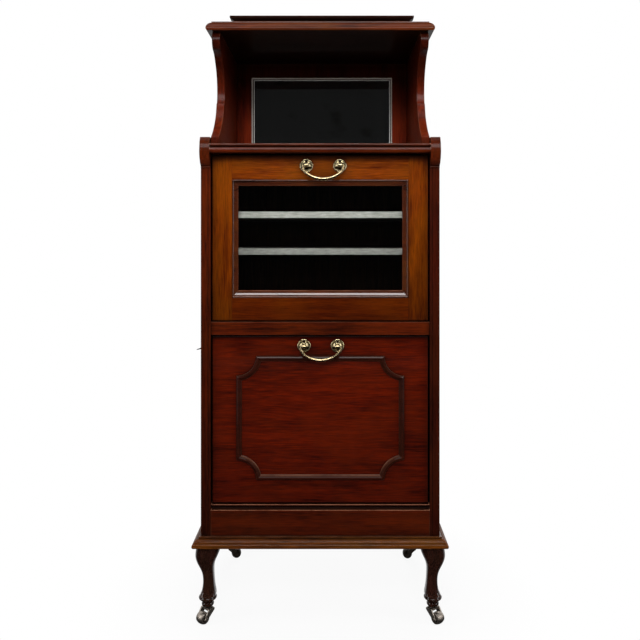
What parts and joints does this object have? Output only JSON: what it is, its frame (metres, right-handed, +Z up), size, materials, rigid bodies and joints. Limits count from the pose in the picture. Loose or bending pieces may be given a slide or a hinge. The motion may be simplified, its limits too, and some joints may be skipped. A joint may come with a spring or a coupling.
{
  "type": "music cabinet",
  "caption": "Upright mahogany music cabinet with a mirrored display shelf, a glazed fall front over a beaded fall front, and cabriole legs on castors.",
  "frame": {"origin": "on the floor, at the middle of the cabinet's overall width and depth", "axes": "+X to the right seen from the front, +Y from the front to the back, +Z up"},
  "size_m": [0.576, 0.36, 1.477],
  "materials": {
    "mahogany": "French polished, dark red-brown",
    "mahogany_fall": "French polished, red-brown figured board",
    "mahogany_pale": "French polished, warmer orange-brown",
    "inner_wood": "stained, unpolished",
    "shelf_wood": "worn greyish edge",
    "mirror": "bevelled, slightly aged silvering",
    "glass": "clear flat pane",
    "brass": "polished, mellowed",
    "iron": "dark wrought iron",
    "castor_metal": "dull aged plating",
    "wheel_metal": "worn bright tread"
  },
  "bodies": {
    "carcass": {"pilaster_left": "mahogany", "pilaster_right": "mahogany", "side_panel_left": "mahogany", "side_panel_right": "mahogany", "shelf_nosing": "mahogany", "mid_rail": "mahogany", "bottom_bead_rail": "mahogany", "plinth_front": "mahogany", "base_moulding_front": "mahogany", "base_moulding_sides": "mahogany", "display_shelf": "mahogany", "upper_side_left": "mahogany", "upper_side_right": "mahogany", "mirror_frame": "mahogany", "canopy_board": "mahogany", "back_gallery": "mahogany", "gallery_capping": "mahogany", "front_legs": "mahogany", "rear_legs": "mahogany", "divider_board": "inner_wood", "bottom_board": "inner_wood", "base_board": "inner_wood", "back_boards": "inner_wood", "mirror_backboard": "inner_wood", "shelf_cleats": "inner_wood", "door_stops": "inner_wood", "music_shelves": "shelf_wood", "mirror_glass": "mirror", "pivot_bushes": "brass", "stay_guides": "brass", "side_hook": "iron", "castor_pins": "castor_metal"},
    "upper_fall": {"upper_fall_stiles": "mahogany_pale", "upper_fall_rails": "mahogany_pale", "glazing_moulding": "mahogany", "glass_pane": "glass", "glazing_fillets": "inner_wood", "upper_pivot_pins": "brass", "upper_stays": "brass", "upper_handle_roses": "brass", "upper_handle_posts": "brass"},
    "upper_bail": {"upper_bail": "brass"},
    "lower_fall": {"lower_fall_panel": "mahogany_fall", "lower_fall_moulding": "mahogany", "lower_pivot_pins": "brass", "lower_stays": "brass", "lower_handle_roses": "brass", "lower_handle_posts": "brass"},
    "lower_bail": {"lower_bail": "brass"},
    "fork_front_left": {"castor_fork_front_left": "castor_metal"},
    "wheel_front_left": {"castor_wheel_front_left": "wheel_metal"},
    "fork_front_right": {"castor_fork_front_right": "castor_metal"},
    "wheel_front_right": {"castor_wheel_front_right": "wheel_metal"},
    "fork_rear_left": {"castor_fork_rear_left": "castor_metal"},
    "wheel_rear_left": {"castor_wheel_rear_left": "wheel_metal"},
    "fork_rear_right": {"castor_fork_rear_right": "castor_metal"},
    "wheel_rear_right": {"castor_wheel_rear_right": "wheel_metal"}
  },
  "joints": [
    {"name": "upper_fall", "type": "hinge", "parent": "carcass", "child": "upper_fall", "pos_m": [0, -0.146, 0.7055], "axis": [1, 0, 0], "range_deg": [0, 80]},
    {"name": "lower_fall", "type": "hinge", "parent": "carcass", "child": "lower_fall", "pos_m": [0, -0.146, 0.2915], "axis": [1, 0, 0], "range_deg": [0, 80]},
    {"name": "upper_bail", "type": "hinge", "parent": "upper_fall", "child": "upper_bail", "pos_m": [0.0065, -0.166, 1.037], "axis": [-1, 0, 0], "range_deg": [0, 110]},
    {"name": "lower_bail", "type": "hinge", "parent": "lower_fall", "child": "lower_bail", "pos_m": [0.001, -0.166, 0.628], "axis": [-1, 0, 0], "range_deg": [0, 110]},
    {"name": "swivel_front_left", "type": "hinge", "parent": "carcass", "child": "fork_front_left", "pos_m": [-0.2565, -0.146, 0.03], "axis": [0, 0, 1], "continuous": true},
    {"name": "roll_front_left", "type": "hinge", "parent": "fork_front_left", "child": "wheel_front_left", "pos_m": [-0.26614, -0.15749, 0.013], "axis": [0.766, -0.6428, 0], "continuous": true},
    {"name": "swivel_front_right", "type": "hinge", "parent": "carcass", "child": "fork_front_right", "pos_m": [0.2565, -0.146, 0.03], "axis": [0, 0, 1], "continuous": true},
    {"name": "roll_front_right", "type": "hinge", "parent": "fork_front_right", "child": "wheel_front_right", "pos_m": [0.26614, -0.15749, 0.013], "axis": [0.766, 0.6428, 0], "continuous": true},
    {"name": "swivel_rear_left", "type": "hinge", "parent": "carcass", "child": "fork_rear_left", "pos_m": [-0.2485, 0.1595, 0.03], "axis": [0, 0, 1], "continuous": true},
    {"name": "roll_rear_left", "type": "hinge", "parent": "fork_rear_left", "child": "wheel_rear_left", "pos_m": [-0.23401, 0.16338, 0.013], "axis": [-0.2588, 0.9659, 0], "continuous": true},
    {"name": "swivel_rear_right", "type": "hinge", "parent": "carcass", "child": "fork_rear_right", "pos_m": [0.2485, 0.1595, 0.03], "axis": [0, 0, 1], "continuous": true},
    {"name": "roll_rear_right", "type": "hinge", "parent": "fork_rear_right", "child": "wheel_rear_right", "pos_m": [0.23354, 0.16055, 0.013], "axis": [-0.0698, -0.9976, 0], "continuous": true}
  ]
}
